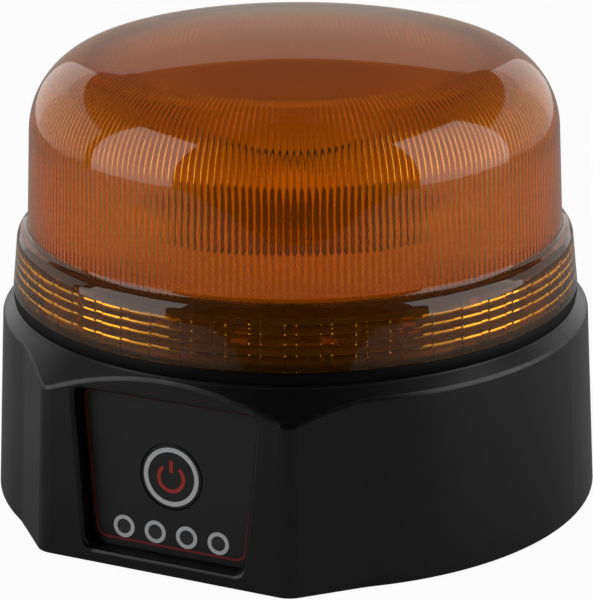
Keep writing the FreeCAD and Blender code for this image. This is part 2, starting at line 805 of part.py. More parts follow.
def lens_body():
    """Collar, bevel, hollow foot and dome, without the ribs inside the collar."""
    outer_foot = rz(dome_foot_r, dome_foot_z)
    inner_foot = rz(dome_in_r, dome_in_z)
    outer, outer_top = dome_edges(outer_foot, 0.0)
    inner, inner_top = dome_edges(inner_foot, lens_wall)
    collar_foot = rz(collar_r_low, seal_top)
    collar_edge = rz(collar_r_top, collar_z)
    bevel_end = rz(bevel_r, bevel_z)
    hollow = rz(bevel_r - foot_w / 2 - foot_sag * foot_h / foot_w, bevel_z + foot_h / 2 - foot_sag)
    roof = rz(collar_in_r, collar_in_z)
    inside_foot = rz(collar_in_r, seal_top)
    edges = [line(collar_foot, collar_edge), line(collar_edge, bevel_end), arc(bevel_end, hollow, outer_foot)]
    edges += outer + [line(outer_top, inner_top)] + inner
    edges += [line(inner_foot, roof), line(roof, inside_foot), line(inside_foot, collar_foot)]
    return turn_profile(Part.sortEdges(edges)[0])


def flute(angle):
    """Upright rib on the inside of the collar, half a hexagon in section, with a sloping top."""
    half = flute_r * sin(radians(30))
    depth = flute_r * cos(radians(30))
    root = collar_in_r + flute_r / 2
    crest = collar_in_r - depth
    corners = [V(root, -flute_r, seal_top), V(crest, -half, seal_top)]
    corners += [V(crest, half, seal_top), V(root, flute_r, seal_top)]
    section = Part.Face(Part.makePolygon(corners + corners[:1]))
    shape = section.extrude(V(0, 0, collar_in_z - flute_r / 3 - seal_top))
    size = 4 * flute_r
    slope = Part.makeBox(size, size, size, V(-size, -size / 2, 0))
    slope.rotate(V(0, 0, 0), V(0, 1, 0), -45)
    slope.translate(V(collar_in_r, 0, collar_in_z - flute_r / 3))
    shape = shape.cut(slope)
    shape.rotate(V(0, 0, 0), Z_AXIS, angle)
    return shape


def ridge(height):
    """Prism ridge round the inside of the collar."""
    z = seal_top + height
    root = collar_in_r + ridge_h
    corners = [(root, z - ridge_half), (collar_in_r, z - ridge_half), (collar_in_r - ridge_h, z)]
    return turn_points(corners + [(collar_in_r, z + ridge_half), (root, z + ridge_half)])


def lens():
    added = [ridge(height) for height in ridge_hs]
    added += [flute(angle) for angle in spaced(flute_count, flute_phase - 90)]
    for angle in spaced(lens_screw_count, lens_screw_angle):
        x, y = polar(lens_screw_r, angle)
        web_end = collar_in_r + lens_web_half
        web = box(lens_screw_r, web_end, -lens_web_half, lens_web_half, seal_top, lens_boss_top)
        web.rotate(V(0, 0, 0), Z_AXIS, angle)
        added += [cylinder(lens_boss_r, deck_z, lens_boss_top, x, y), web]
    shape = lens_body().multiFuse(added)
    for x, y in lens_screw_places:
        shape = shape.cut(cylinder(screw_r, deck_z - 1, lens_screw_end + screw_spare, x, y))
    return shape.cut(Part.makeSphere(gate_r, V(0, 0, dome_top_z - gate_depth + gate_r)))


def lens_seal():
    inner = seal_r - seal_w
    low_out = rz(seal_r, deck_z)
    high_out = rz(seal_r, seal_top)
    high_in = rz(inner, seal_top)
    low_in = rz(inner, deck_z)
    bulge = arc(low_out, rz(seal_r + seal_bulge, (deck_z + seal_top) / 2), high_out)
    return turn_profile([bulge, line(high_out, high_in), line(high_in, low_in), line(low_in, low_out)])


# ---------------------------------------------------------------- light engine
def heat_sink():
    web_z = deck_low + 0.5
    added = [cylinder(sink_r, deck_z, sink_z), ring(deck_bore_r - sink_fit, sink_hub_r, web_z, deck_z + 0.1)]
    fin_end = deck_bore_r - sink_fit - 0.4
    fin_low = web_z - sink_fin_h
    for angle in spaced(sink_fin_count):
        fin = box(sink_hub_r + 1, fin_end, -sink_fin_half, sink_fin_half, fin_low, web_z + 0.1)
        fin.rotate(V(0, 0, 0), Z_AXIS, angle)
        added.append(fin)
    shape = join(added).cut(cylinder(sink_hole_r, deck_low - 1, sink_z + 1))
    for x, y in reflector_screw_places:
        shape = shape.cut(cylinder(screw_r + hole_gap, web_z - 1, sink_z + 1, x, y))
        shape = shape.cut(cylinder(screw_head_r + head_gap, web_z - 2 * sink_fin_h, sink_screw_seat, x, y))
    return shape


def led_board():
    shape = ring(led_board_r, led_board_hole_r, sink_z, board_top)
    for x, y in reflector_screw_places:
        shape = shape.cut(cylinder(screw_r + hole_gap, sink_z - 1, board_top + 1, x, y))
    return shape


def led(z_low, radius, angle):
    """Square surface-mounted lamp with bevelled upper edges."""
    half = led_size / 2
    block = box(-half, half, -half, half, z_low, z_low + led_h)
    block = block.makeChamfer(led_bevel, [e for e in block.Edges if e.BoundBox.ZMin > z_low + led_h - 0.01])
    block.translate(V(radius, 0, 0))
    block.rotate(V(0, 0, 0), Z_AXIS, angle)
    return block


def led_ring():
    angles = spaced(led_count, 180 / led_count)
    return Part.makeCompound([led(board_top, led_pitch_r, angle) for angle in angles])


def reflector():
    """Mirror that turns the lamps' light outwards; its upper face is the floor under the dome."""
    foot_in = reflector_foot_r - reflector_foot_w
    dish_in = dish_low_r - dish_lip
    bend_r = reflector_foot_r + (floor_r - reflector_foot_r) * mirror_sag_r
    bend_z = board_top + (floor_low - board_top) * mirror_sag_z
    corners = [(reflector_foot_r, board_top), (bend_r, bend_z), (floor_r - mirror_edge, floor_low)]
    corners += [(floor_r, floor_low + mirror_edge), (floor_r, floor_z), (dish_r, floor_z)]
    corners += [(dish_low_r, dish_z), (dish_in, dish_z), (dish_in, dish_z - floor_t)]
    corners += [(dish_low_r + 1, dish_z - floor_t)]
    corners += [(dish_r + 1, floor_low), (foot_in, floor_low), (foot_in, board_top)]
    shape = turn_points(corners)
    for x, y in reflector_screw_places:
        shape = shape.cut(cylinder(screw_r, board_top - 1, board_top + reflector_grip + screw_spare, x, y))
    return shape


def centre_board():
    return cylinder(dish_low_r - centre_board_gap, dish_z, dish_z + board_t)


def centre_leds():
    face_z = dish_z + board_t
    outer = [led(face_z, centre_led_r, angle) for angle in spaced(centre_led_count - 1)]
    return Part.makeCompound([led(face_z, 0.0, 0.0)] + outer)


# ---------------------------------------------------------------- electronics and batteries
def driver_board():
    board_z = driver_z - board_t
    pieces = [cylinder(driver_r, board_z, driver_z)]
    tab_end = driver_screw_r + driver_tab_end
    for angle in spaced(driver_screw_count, driver_screw_angle):
        tab = box(driver_r / 2, tab_end, -driver_tab_half, driver_tab_half, board_z, driver_z)
        tab.rotate(V(0, 0, 0), Z_AXIS, angle)
        pieces.append(tab)
    shape = join(pieces)
    for x, y in driver_screw_places:
        shape = shape.cut(cylinder(screw_r + hole_gap, board_z - 1, driver_z + 1, x, y))
    return shape


def driver_parts():
    """Coil, two capacitors and two connectors lying on the driver board."""
    parts = [box(-coil_half, coil_half, -coil_half, coil_half, driver_z, driver_z + coil_h)]
    for side in (-1, 1):
        parts.append(cylinder(capacitor_r, driver_z, driver_z + capacitor_h, side * capacitor_x, capacitor_y))
        x = side * plug_x
        parts.append(box(x - plug_half, x + plug_half, plug_y, plug_y + plug_d, driver_z, driver_z + plug_h))
    return Part.makeCompound(parts)


def battery_cell(y):
    can_end = cell_len / 2 - cell_tip
    can = rod_x(cell_r, -cell_len / 2, can_end, y, cell_z)
    return can.fuse(rod_x(cell_tip_r, can_end, cell_len / 2, y, cell_z)).removeSplitter()


def battery_cradle():
    inner_x = cell_len / 2 + cell_end_gap
    outer_x = inner_x + cradle_wall
    inner_y = cradle_half_y - cradle_wall
    high = cradle_z + cradle_h
    tray = box(-outer_x, outer_x, -cradle_half_y, cradle_half_y, cradle_z, high)
    tray = tray.cut(box(-inner_x, inner_x, -inner_y, inner_y, cell_z - cradle_web, high + 1))
    for y in cell_places:
        tray = tray.cut(rod_x(cell_r, -inner_x, inner_x, y, cell_z))
    for x, y in cradle_places:
        tray = tray.cut(cylinder(small_hole_r, cradle_z - 1, cell_z, x, y))
        tray = tray.cut(cylinder(small_screw_head_r + head_gap, cradle_z + cradle_floor_t, cell_z, x, y))
    return tray


def cradle_screw(x, y):
    shape = small_screw(cradle_floor_t + small_screw_grip)
    shape.rotate(V(0, 0, 0), X_AXIS, 180)
    shape.translate(V(x, y, cradle_z + cradle_floor_t))
    return shape


def battery_strap():
    """Band over the cells, its ends against the cradle's long walls."""
    half_y = cradle_half_y
    top = cell_z + cell_r
    low = cradle_z + 1.0
    half_w = strap_w / 2
    outer = box(-half_w, half_w, -half_y - strap_t, half_y + strap_t, low, top + strap_t)
    inner = box(-half_w - 1, half_w + 1, -half_y, half_y, low - 1, top)
    outer = outer.makeFillet(strap_round, upper_x_edges(outer, top))
    return outer.cut(inner.makeFillet(strap_round - strap_t, upper_x_edges(inner, top - 0.1)))


def upper_x_edges(shape, z_low):
    along_x = [e for e in shape.Edges if abs(e.BoundBox.XLength - e.Length) < 0.01]
    return [e for e in along_x if e.CenterOfMass.z > z_low]


# ---------------------------------------------------------------- charge port
def charge_socket():
    body = slot_prism(socket_w, socket_h, charge_board_y, port_floor - socket_back, port_z)
    inner_w = socket_w - 2 * socket_wall
    inner_h = socket_h - 2 * socket_wall
    return body.cut(slot_prism(inner_w, inner_h, charge_board_y + 1, port_floor, port_z))


def charge_board():
    half = port_screw_x + charge_board_edge
    back = charge_board_y - board_t
    low = port_z - charge_board_half_h
    board = box(-half, half, back, charge_board_y, low, low + 2 * charge_board_half_h)
    for side in (-1, 1):
        board = board.cut(rod_y(small_hole_r, side * port_screw_x, back - 1, charge_board_y + 1, port_z))
    return board


def charge_screw(x):
    shape = small_screw(board_t + small_screw_grip)
    shape.rotate(V(0, 0, 0), X_AXIS, -90)
    shape.translate(V(x, charge_board_y - board_t, port_z))
    return shape


def port_flap():
    """Rubber cover of the charge port, with its hinge barrel and finger tab."""
    half = port_w / 2 - flap_gap
    low = port_z - port_h / 2 + flap_gap
    back = port_floor + flap_back
    face = back + flap_t
    plate = box(-half, half, back, face, low, pin_z)
    along_y = [e for e in plate.Edges if abs(e.BoundBox.YLength - e.Length) < 0.01]
    plate = plate.makeFillet(flap_round, [e for e in along_y if e.CenterOfMass.z < low + 0.1])
    outer = [e for e in plate.Edges if e.BoundBox.YMin > face - 0.01]
    plate = plate.makeFillet(flap_bevel, [e for e in outer if e.CenterOfMass.z < pin_z - 0.1])
    tab_low = low + flap_bevel * 2
    tab = box(-flap_tab_half, flap_tab_half, face - 0.1, face + flap_tab_out, tab_low, tab_low + flap_tab_h)
    shape = join([plate, rod_x(barrel_r, -half, half, pin_y, pin_z), tab])
    return shape.cut(rod_x(pin_r + pin_fit, -port_w, port_w, pin_y, pin_z))


def port_pin():
    return rod_x(pin_r, -pin_len / 2, pin_len / 2, pin_y, pin_z)


# ---------------------------------------------------------------- assembly
def numbered(name, shapes):
    return {f"{name}_{i + 1}": shape for i, shape in enumerate(shapes)}


def collect():
    parts = {
        "base_housing": base_housing(), "bottom_cover": bottom_cover(), "bottom_gasket": bottom_gasket(),
        "base_pad": base_pad(), "panel_overlay": panel_overlay(), "power_key": power_key(),
        "switch_plunger": switch_plunger(), "switch_body": switch_body(), "indicator_leds": indicator_leds(),
        "panel_board": panel_board(), "lens": lens(), "lens_seal": lens_seal(), "heat_sink": heat_sink(),
        "led_board": led_board(), "led_ring": led_ring(), "reflector": reflector(),
        "centre_board": centre_board(), "centre_leds": centre_leds(), "driver_board": driver_board(),
        "driver_parts": driver_parts(), "battery_cradle": battery_cradle(), "battery_strap": battery_strap(),
        "charge_socket": charge_socket(), "charge_board": charge_board(), "port_flap": port_flap(),
        "port_pin": port_pin(),
    }
    parts.update(numbered("magnet_cup", [magnet_cup(x, y) for x, y in magnet_places]))
    parts.update(numbered("magnet_core", [magnet_core(x, y) for x, y in magnet_places]))
    seat = magnet_top - magnet_shell
    length = magnet_shell + magnet_grip
    parts.update(numbered("magnet_screw", [screw(x, y, seat, length) for x, y in magnet_places]))
    length = cover_top - cover_screw_seat + cover_grip
    screws = [screw(x, y, cover_screw_seat, length) for x, y in cover_screw_places]
    parts.update(numbered("cover_screw", screws))
    length = deck_t + lens_grip
    parts.update(numbered("lens_screw", [screw(x, y, deck_low, length) for x, y in lens_screw_places]))
    length = board_top - sink_screw_seat + reflector_grip
    screws = [screw(x, y, sink_screw_seat, length) for x, y in reflector_screw_places]
    parts.update(numbered("reflector_screw", screws))
    seat = driver_z - board_t
    screws = [screw(x, y, seat, board_t + driver_grip) for x, y in driver_screw_places]
    parts["driver_screws"] = Part.makeCompound(screws)
    parts["cradle_screws"] = Part.makeCompound([cradle_screw(x, y) for x, y in cradle_places])
    parts["charge_screws"] = Part.makeCompound([charge_screw(side * port_screw_x) for side in (-1, 1)])
    parts.update(numbered("indicator_pipe", [indicator_pipe(u) for u in window_places]))
    parts.update(numbered("battery_cell", [battery_cell(y) for y in cell_places]))
    parts.update(numbered("panel_screw", [panel_screw(side * panel_screw_u) for side in (-1, 1)]))
    return parts


os.makedirs("parts", exist_ok=True)
for name, solid in collect().items():
    if not solid.isValid():
        raise RuntimeError(f"{name} is not a valid solid")
    solid.exportStep(f"parts/{name}.step")
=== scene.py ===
"""Looks of the amber LED beacon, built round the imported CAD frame.  Sizes are written in mm and
built in metres."""

import json
from math import atan, cos, pi, radians, sin, sqrt, tan

import bmesh
import bpy
from mathutils import Matrix, Vector


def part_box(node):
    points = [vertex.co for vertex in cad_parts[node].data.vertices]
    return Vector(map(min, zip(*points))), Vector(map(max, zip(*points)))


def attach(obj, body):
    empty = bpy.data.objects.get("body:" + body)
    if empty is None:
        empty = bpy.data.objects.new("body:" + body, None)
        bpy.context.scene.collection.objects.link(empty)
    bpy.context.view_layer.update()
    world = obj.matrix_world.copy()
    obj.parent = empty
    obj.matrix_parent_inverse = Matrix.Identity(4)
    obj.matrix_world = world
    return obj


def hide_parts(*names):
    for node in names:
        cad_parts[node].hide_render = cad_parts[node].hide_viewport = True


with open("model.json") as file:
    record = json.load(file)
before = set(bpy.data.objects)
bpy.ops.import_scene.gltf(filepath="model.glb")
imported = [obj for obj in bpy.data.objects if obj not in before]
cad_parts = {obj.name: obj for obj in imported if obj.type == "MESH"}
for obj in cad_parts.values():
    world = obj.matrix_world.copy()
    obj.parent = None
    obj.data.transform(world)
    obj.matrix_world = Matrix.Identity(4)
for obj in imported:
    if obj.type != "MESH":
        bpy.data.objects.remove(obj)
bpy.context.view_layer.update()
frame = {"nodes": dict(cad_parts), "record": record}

MM = 0.001

# ---------------------------------------------------------------- lens sizes, mm
seal_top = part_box("lens_seal")[1].z / MM

COLLAR_R_LOW = 69.75        # outside radius at the foot
COLLAR_R_TOP = 68.4         # and at COLLAR_Z
COLLAR_Z = 65.0
COLLAR_FOOT_EDGE = 0.25     # broken edge at the foot
COLLAR_ROWS = (0.25, 0.5, 0.75, 0.955)  # shares of the collar's height
BEVEL_R = 67.6
BEVEL_Z = 66.4
DOME_FOOT_R = 65.7
DOME_FOOT_Z = 67.6
DOME_DRAFT = radians(2.68)
CROWN_R = 279.0
SHOULDER_R = 19.75
SHOULDER_Z = 90.8
LENS_WALL = 2.6
TOP_DIP = 0.02              # keeps the top of the dome inside the CAD box
PLAIN_STEPS = 360           # points round a smooth ring
OUTER_ROWS = (6, 26, 12)    # rows up the wall, round the shoulder and over the crown
INNER_ROWS = (7, 20, 10)
CREASE = radians(32)        # edges sharper than this stay sharp

# rounded edges outside: centre's radius and height, radius, first and last angle in degrees, steps
EDGE_ARCS = (
    (COLLAR_R_TOP - 1.55, COLLAR_Z - 0.40, 1.5, 7, 32, 4),          # collar into bevel
    (BEVEL_R - 0.88, BEVEL_Z - 0.72, 1.0, 32, 62, 4),               # bevel into ledge
    (BEVEL_R - 0.25, DOME_FOOT_Z + 0.85, 1.75, 250, 186, 6),        # hollow foot of the dome
)
DOME_START = (DOME_FOOT_R - 0.03, DOME_FOOT_Z + 0.75)   # where the hollow foot ends

COLLAR_IN_R = 66.45
COLLAR_IN_Z = 63.9
DOME_IN_R = 63.22
DOME_IN_Z = 64.9

RIB_COUNT = 248             # fine upright ribs inside the dome
RIB_DEPTH = 0.30
RIB_POINTS = 4              # points across one rib
RIB_FOOT = 0.1              # the wall's foot stays plain up to here
RIB_FADE_FROM = 3.0         # the ribs start to fade this far outside the shoulder's centre
RIB_FADE = 8.0

FLUTE_COUNT = 52            # upright strips inside the collar, flat on top
FLUTE_PHASE = radians(24.5 - 90.0)
FLUTE_HALF = 1.35
FLUTE_SIDE = 0.16
FLUTE_H = 0.4
FLUTE_TOP_Z = COLLAR_IN_Z - 0.4
FLUTE_END = 0.04            # height in which a flute ends
LAND_STEPS = 7              # steps between two flutes

RIDGE_ZS = (54.5, 57.3, 59.6, 61.8)     # level prism ridges inside the collar
RIDGE_H = 0.55
RIDGE_HALF = 0.6

# ---------------------------------------------------------------- panel sizes, mm
PANEL_DIST = 73.0
PANEL_DRAFT = radians(3.1)
LABEL_W = -4.3              # face of the overlay, measured outwards from the panel plane
KEY_V = 23.5 / cos(PANEL_DRAFT)
WINDOW_V = 9.3 / cos(PANEL_DRAFT)
WINDOW_PITCH = 8.25
WINDOW_COUNT = 4
INK_T = 0.06
INK_LIFT = 0.005            # gap under the ink
RING_STEPS = 72
POWER_RING = (7.14, 1.1)    # outer radius and stroke
CHARGE_RING = (2.76, 0.95)
SIGN_RADII = (2.75, 3.65)   # the power sign's arc
SIGN_DROP = 0.28            # its centre below the key's
SIGN_GAP = radians(40)      # half its opening at the top
SIGN_STEPS = 40
BAR_HALF = 0.45             # the power sign's bar
BAR_LOW = 1.0
BAR_HIGH = 4.0
BORDER_STROKE = 0.55
BORDER_HALF_TOP = 23.15
BORDER_HALF_LOW = 19.5
BORDER_TOP = 42.1
BORDER_FOOT = 5.85
BORDER_LOW_R = 3.0
BORDER_HIGH_R = 2.6
BORDER_STEPS = 9

# ---------------------------------------------------------------- camera and stage
CAMERA_AZ = 25.5
CAMERA_EL = 17.8
CAMERA_DIST = 700.0
CAMERA_PIVOT_Z = 60.0       # the distance is measured from this height on the axis
CAMERA_ROLL = -0.364
CAMERA_LENS = 169.6
SENSOR_WIDTH = 36.0
AIM_Z = 45.54
AIM_ACROSS = 0.24

WORLD_STRENGTH = 0.07       # for all rays but the camera's, which see white
FLOOR_TONE = 0.62
FLOOR_GLOW = 0.96           # share of plain white that the camera sees on the floor
FLOOR_REACH = 3000.0
FLOOR_DROP = -0.05

CURTAIN_TONE = 0.02
CURTAIN_R = 560.0
CURTAIN_SPREAD = 76.0       # degrees, half on either side of the camera
CURTAIN_LOW = -25.0         # elevation of its lower edge
CURTAIN_RISE = 120.0        # degrees from there to its upper edge
CURTAIN_COLUMNS = 12
CURTAIN_ROWS = 10
SKIRT_NEAR = 430.0          # the skirt lies on the floor between these distances
SKIRT_FAR = 1600.0
SKIRT_HALF = 700.0
SKIRT_Z = 1.0

# azimuth from the camera's, distance, height, width, height of the box, power
SOFTBOXES = {
    "left_box": (-70, 600, 370, 450, 720, 1.9),
    "right_box": (74, 600, 370, 520, 720, 2.3),
    "back_wall": (180, 800, 240, 1400, 480, 0.62),
    "back_left": (-128, 800, 270, 1000, 540, 1.1),
    "back_right": (128, 800, 270, 1000, 540, 1.1),
}


# ---------------------------------------------------------------- materials
TONE_SCALE = 90.0
TONE_EDGES = (0.35, 0.65)   # noise levels between which the tone drifts
GRAIN_STRENGTH = 0.35


def new_material(name):
    """Material with its nodes, links and shader."""
    material = bpy.data.materials.new(name)
    material.use_nodes = True
    nodes = material.node_tree.nodes
    return material, nodes, material.node_tree.links, nodes["Principled BSDF"]


def set_inputs(node, **values):
    """Set inputs by name, with _ for a space."""
    for key, value in values.items():
        node.inputs[key.replace("_", " ")].default_value = value


def object_noise(nodes, links, scale, detail, roughness):
    """Noise in object space."""
    noise = nodes.new("ShaderNodeTexNoise")
    set_inputs(noise, Scale=scale, Detail=detail, Roughness=roughness)
    coords = nodes.new("ShaderNodeTexCoord")
    links.new(coords.outputs["Object"], noise.inputs["Vector"])
    return noise


def drift(nodes, links, noise, low, high, socket):
    """Let a noise move a socket's value between two limits."""
    limits = nodes.new("ShaderNodeMapRange")
    set_inputs(limits, To_Min=low, To_Max=high)
    links.new(noise.outputs["Fac"], limits.inputs["Value"])
    links.new(limits.outputs["Result"], socket)


def mottled(nodes, links, low, high, scale, socket):
    """Colour that wanders between two close tones."""
    noise = object_noise(nodes, links, scale, 4.0, 0.6)
    ramp = nodes.new("ShaderNodeValToRGB")
    for element, edge, tone in zip(ramp.color_ramp.elements, TONE_EDGES, (low, high)):
        element.position = edge
        element.color = (*tone, 1.0)
    links.new(noise.outputs["Fac"], ramp.inputs["Fac"])
    links.new(ramp.outputs["Color"], socket)


def moulded(name, low, high, rough_low, rough_high, grain_scale, grain_depth,
            metallic=0.0, specular=0.5):
    """Plastic, rubber or metal with tone drift, roughness drift and a fine grain."""
    material, nodes, links, shader = new_material(name)
    mottled(nodes, links, low, high, TONE_SCALE, shader.inputs["Base Color"])
    noise = object_noise(nodes, links, grain_scale, 3.0, 0.55)
    bump = nodes.new("ShaderNodeBump")
    set_inputs(bump, Strength=GRAIN_STRENGTH, Distance=grain_depth)
    links.new(noise.outputs["Fac"], bump.inputs["Height"])
    links.new(bump.outputs["Normal"], shader.inputs["Normal"])
    drift(nodes, links, noise, rough_low, rough_high, shader.inputs["Roughness"])
    shader.inputs["Metallic"].default_value = metallic
    shader.inputs["Specular IOR Level"].default_value = specular
    return material


def amber_plastic():
    """Clear amber lens plastic; a faint smear keeps the gloss from being perfect."""
    material, nodes, links, shader = new_material("amber_plastic")
    shader.inputs["Transmission Weight"].default_value = 0.965
    shader.inputs["IOR"].default_value = 1.49
    mottled(nodes, links, (0.98, 0.395, 0.022), (0.99, 0.425, 0.03), 25.0,
            shader.inputs["Base Color"])
    smear = object_noise(nodes, links, 60.0, 2.0, 0.55)
    drift(nodes, links, smear, 0.0, 0.05, shader.inputs["Roughness"])
    return material


def film(name, low, high):
    """Printed overlay film with a fine pebbled grain."""
    return moulded(name, low, high, 0.42, 0.62, 4200.0, 0.00005)


def ink(name, low, high):
    """Matt printing ink."""
    return moulded(name, low, high, 0.45, 0.6, 4200.0, 0.00003)


# name, low tone, high tone, least and most roughness, grain's scale and depth.  The blacks and
# the inks are set for the dim light that this stage has in front.
MATERIALS = {
    "housing_plastic": moulded("black_moulding", (0.0028, 0.0028, 0.0029),
                               (0.0042, 0.0042, 0.0042), 0.25, 0.36, 2600.0, 0.00002,
                               specular=0.45),
    "seal_rubber": moulded("black_rubber", (0.002, 0.002, 0.002), (0.003, 0.003, 0.003),
                           0.5, 0.65, 900.0, 0.00002, specular=0.12),
    "pad_rubber": moulded("pad_rubber", (0.012, 0.012, 0.012), (0.02, 0.02, 0.019),
                          0.7, 0.9, 1500.0, 0.0001),
    "flap_rubber": moulded("flap_rubber", (0.008, 0.008, 0.008), (0.013, 0.013, 0.012),
                           0.55, 0.7, 1800.0, 0.00004),
    "overlay_film": film("overlay_film", (0.004, 0.004, 0.0044), (0.007, 0.007, 0.0075)),
    "key_film": film("key_film", (0.004, 0.004, 0.0044), (0.007, 0.007, 0.0075)),
    "window_film": film("window_film", (0.022, 0.022, 0.024), (0.03, 0.03, 0.032)),
    "amber_lens": amber_plastic(),
    "zinc_steel": moulded("zinc_steel", (0.5, 0.5, 0.47), (0.62, 0.62, 0.6),
                          0.3, 0.45, 700.0, 0.00002, metallic=1.0),
    "magnet_steel": moulded("magnet_steel", (0.55, 0.55, 0.54), (0.66, 0.66, 0.65),
                            0.2, 0.35, 500.0, 0.00001, metallic=1.0),
    "ferrite": moulded("ferrite", (0.03, 0.03, 0.033), (0.05, 0.05, 0.055),
                       0.6, 0.75, 1200.0, 0.00003),
    "pin_steel": moulded("pin_steel", (0.5, 0.5, 0.5), (0.6, 0.6, 0.6),
                         0.25, 0.35, 900.0, 0.00001, metallic=1.0),
    "sink_aluminium": moulded("sink_aluminium", (0.68, 0.68, 0.69), (0.78, 0.78, 0.79),
                              0.3, 0.45, 600.0, 0.00001, metallic=1.0),
    # painted shade: the board is a dim grey and not a white mask, so that the collar's centre
    # stays dark
    "led_board_white": moulded("board_mask_painted_shade", (0.15, 0.15, 0.145), (0.18, 0.18, 0.175),
                               0.4, 0.5, 500.0, 0.00001),
    "lamp_yellow": moulded("phosphor", (0.75, 0.5, 0.06), (0.85, 0.6, 0.1),
                           0.2, 0.35, 800.0, 0.00001),
    "silvered_plastic": moulded("silvered", (0.80, 0.80, 0.80), (0.88, 0.88, 0.88),
                                0.22, 0.34, 400.0, 0.00001, metallic=0.9),
    "board_green": moulded("green_mask", (0.015, 0.12, 0.04), (0.03, 0.17, 0.06),
                           0.35, 0.5, 700.0, 0.00001),
    "component_black": moulded("component", (0.015, 0.015, 0.015), (0.03, 0.03, 0.03),
                               0.5, 0.65, 900.0, 0.00002),
    "plunger_plastic": moulded("plunger", (0.03, 0.03, 0.03), (0.05, 0.05, 0.05),
                               0.4, 0.55, 900.0, 0.00001),
    "socket_steel": moulded("socket_steel", (0.5, 0.5, 0.5), (0.6, 0.6, 0.6),
                            0.25, 0.4, 800.0, 0.00001, metallic=1.0),
    "cradle_plastic": moulded("cradle", (0.02, 0.02, 0.02), (0.035, 0.035, 0.035),
                              0.5, 0.65, 1100.0, 0.00002),
    "cell_wrap": moulded("cell_wrap", (0.03, 0.12, 0.3), (0.045, 0.16, 0.38),
                         0.3, 0.45, 500.0, 0.00001),
}
INK_GREY = ink("ink_grey", (0.66, 0.67, 0.69), (0.76, 0.77, 0.79))
INK_RED = ink("ink_red", (0.42, 0.022, 0.014), (0.52, 0.03, 0.02))
INK_DARK_RED = ink("ink_dark_red", (0.19, 0.010, 0.008), (0.25, 0.014, 0.011))


def dress_nodes():
    """Give every CAD node the material of its slot."""
    slots = {entry["node"]: entry["material_slot"] for entry in frame["record"]["subparts"]}
    for name, node in frame["nodes"].items():
        node.data.materials.clear()
        node.data.materials.append(MATERIALS[slots[name]])


# ---------------------------------------------------------------- mesh helpers
def mesh_piece(name, points, faces, material, smooth=True):
    """Object of one material from points in mm."""
    mesh = bpy.data.meshes.new(name)
    mesh.from_pydata([Vector(p) * MM for p in points], [], faces)
    mesh.validate()
    mesh.materials.append(material)
    for polygon in mesh.polygons:
        polygon.use_smooth = smooth
    piece = bpy.data.objects.new(name, mesh)
    bpy.context.scene.collection.objects.link(piece)
    return piece


def fix_normals(piece):
    """Turn all faces outwards."""
    work = bmesh.new()
    work.from_mesh(piece.data)
    bmesh.ops.recalc_face_normals(work, faces=work.faces)
    work.to_mesh(piece.data)
    work.free()


class Rings:
    """Builds a skin from closed rings of points round the Z axis."""

    def __init__(self):
        self.points = []
        self.faces = []

    def ring(self, angles, radius, height):
        """Ring of points; the radius is a number or a function of the angle."""
        start = len(self.points)
        for angle in angles:
            r = radius(angle) if callable(radius) else radius
            self.points.append((r * cos(angle), r * sin(angle), height))
        return range(start, len(self.points))

    def bridge(self, first, second):
        """Quads between two rings of the same count."""
        count = len(first)
        for i in range(count):
            j = (i + 1) % count
            self.faces.append((first[i], first[j], second[j], second[i]))

    def stitch(self, first, first_angles, second, second_angles):
        """Triangles between two rings of different counts, by walking round both."""
        i = j = 0
        n, m = len(first), len(second)
        turn = 2 * pi
        while i < n or j < m:
            next_i = first_angles[i + 1] if i + 1 < n else first_angles[0] + turn
            next_j = second_angles[j + 1] if j + 1 < m else second_angles[0] + turn
            if j >= m or (i < n and next_i <= next_j):
                self.faces.append((first[i % n], first[(i + 1) % n], second[j % m]))
                i += 1
            else:
                self.faces.append((first[i % n], second[(j + 1) % m], second[j % m]))
                j += 1

    def cap(self, ring, height):
        """Fan from a ring to a point on the axis."""
        centre = len(self.points)
        self.points.append((0.0, 0.0, height))
        count = len(ring)
        for i in range(count):
            self.faces.append((ring[i], ring[(i + 1) % count], centre))


def arc_points(centre_r, centre_z, radius, first, last, steps):
    """Points on an arc in the RZ plane, angles from the outward radius upwards."""
    places = []
    for i in range(steps + 1):
        angle = first + (last - first) * i / steps
        places.append((centre_r + radius * cos(angle), centre_z + radius * sin(angle)))
    return places


# ---------------------------------------------------------------- lens
ARC_CENTRE_R = (DOME_FOOT_R - (SHOULDER_Z - DOME_FOOT_Z) * tan(DOME_DRAFT)
                - SHOULDER_R / cos(DOME_DRAFT))
CROWN_Z = SHOULDER_Z - sqrt((CROWN_R - SHOULDER_R) ** 2 - ARC_CENTRE_R ** 2)
DOME_TOP_Z = CROWN_Z + CROWN_R
TIP = atan(ARC_CENTRE_R / (SHOULDER_Z - CROWN_Z))


def dome_profile(offset, foot, rows):
    """Profile of the dome from its foot to just short of the axis, moved inwards by an offset."""
    wall_rows, arc_rows, crown_rows = rows
    foot_r, foot_z = foot
    shoulder = arc_points(ARC_CENTRE_R, SHOULDER_Z, SHOULDER_R - offset, DOME_DRAFT,
                          pi / 2 - TIP, arc_rows)
    top_r, top_z = shoulder[0]
    profile = []
    for i in range(wall_rows):
        share = i / wall_rows
        profile.append((foot_r + (top_r - foot_r) * share, foot_z + (top_z - foot_z) * share))
    profile += shoulder
    for i in range(1, crown_rows):
        angle = TIP * (1 - i / crown_rows)
        profile.append(((CROWN_R - offset) * sin(angle),
                        CROWN_Z + (CROWN_R - offset) * cos(angle)))
    return profile


